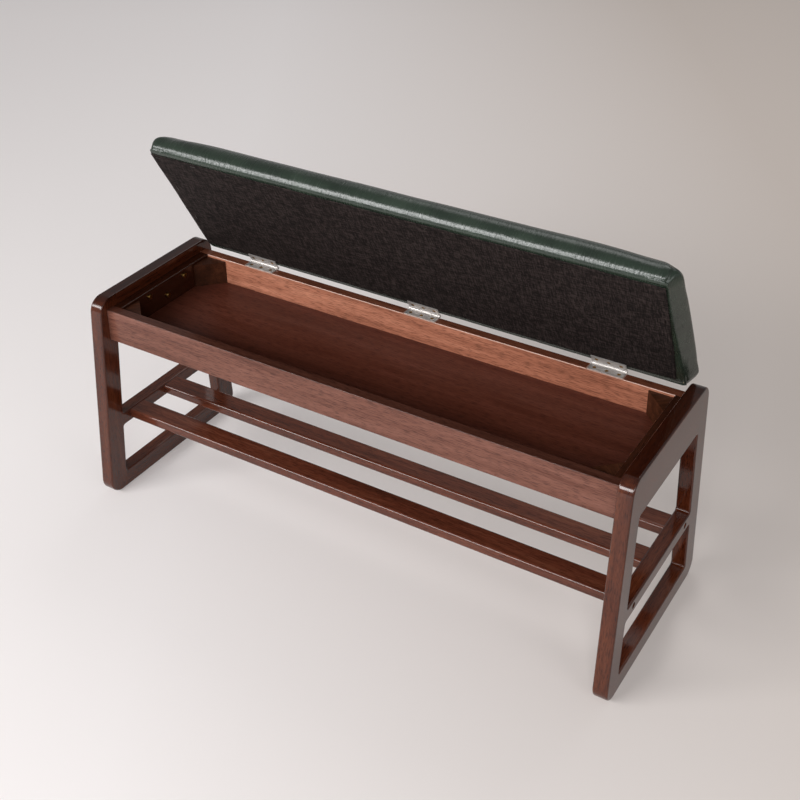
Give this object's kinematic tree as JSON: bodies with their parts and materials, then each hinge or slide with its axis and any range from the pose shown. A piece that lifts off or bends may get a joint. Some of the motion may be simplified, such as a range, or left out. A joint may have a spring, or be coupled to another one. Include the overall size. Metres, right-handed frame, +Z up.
{
  "type": "shoe storage bench",
  "caption": "Low bench with splayed wooden side frames, a slatted shoe shelf and a shallow box under a padded hinged lid.",
  "frame": {"origin": "centre of the footprint on the floor", "axes": "+X along the bench to its right end seen from the front, +Y to the rear, +Z up"},
  "size_m": [1, 0.3576, 0.6425],
  "materials": {
    "stained_rubberwood": "dark red-brown stain under satin lacquer",
    "stained_plywood": "dark red-brown stain, satin",
    "plain_plywood": "bare sanded plywood",
    "beech_dowel": "bare turned beech",
    "yellow_zinc_steel": "yellow zinc plate",
    "hinge_steel": "bright zinc plate",
    "staple_steel": "bright wire",
    "foam": "open-cell foam",
    "green_vinyl": "dark green vinyl, glossy",
    "black_dust_cloth": "thin black woven cloth"
  },
  "bodies": {
    "bench": {"front_apron": "stained_rubberwood", "front_left_corner_block": "stained_rubberwood", "front_right_corner_block": "stained_rubberwood", "front_slat": "stained_rubberwood", "hinge_rail_screws": "yellow_zinc_steel", "left_apron_dowels": "beech_dowel", "left_box_bolts": "yellow_zinc_steel", "left_end_panel": "stained_rubberwood", "left_floor_rail": "stained_rubberwood", "left_frame_dowels": "beech_dowel", "left_frame_inserts": "yellow_zinc_steel", "left_front_leg": "stained_rubberwood", "left_hinge_pin": "hinge_steel", "left_hinge_rail_leaf": "hinge_steel", "left_rear_leg": "stained_rubberwood", "left_shelf_rail": "stained_rubberwood", "left_top_rail": "stained_rubberwood", "middle_hinge_pin": "hinge_steel", "middle_hinge_rail_leaf": "hinge_steel", "middle_slat": "stained_rubberwood", "rear_apron": "stained_rubberwood", "rear_left_corner_block": "stained_rubberwood", "rear_right_corner_block": "stained_rubberwood", "rear_slat": "stained_rubberwood", "right_apron_dowels": "beech_dowel", "right_box_bolts": "yellow_zinc_steel", "right_end_panel": "stained_rubberwood", "right_floor_rail": "stained_rubberwood", "right_frame_dowels": "beech_dowel", "right_frame_inserts": "yellow_zinc_steel", "right_front_leg": "stained_rubberwood", "right_hinge_pin": "hinge_steel", "right_hinge_rail_leaf": "hinge_steel", "right_rear_leg": "stained_rubberwood", "right_shelf_rail": "stained_rubberwood", "right_top_rail": "stained_rubberwood", "shelf_bolts": "yellow_zinc_steel", "slat_dowels": "beech_dowel", "slat_inserts": "yellow_zinc_steel", "tray_panel": "stained_plywood"},
    "lid": {"cover_staples": "staple_steel", "cushion_cover": "green_vinyl", "dust_cover": "black_dust_cloth", "foam_pad": "foam", "hinge_lid_screws": "yellow_zinc_steel", "left_hinge_lid_leaf": "hinge_steel", "lid_board": "plain_plywood", "middle_hinge_lid_leaf": "hinge_steel", "right_hinge_lid_leaf": "hinge_steel"}
  },
  "joints": [
    {"name": "lid_hinge", "type": "hinge", "parent": "bench", "child": "lid", "pos_m": [0, 0.1384, 0.3734], "axis": [-1, 0, 0], "range_deg": [-60.7, 44.5]}
  ]
}
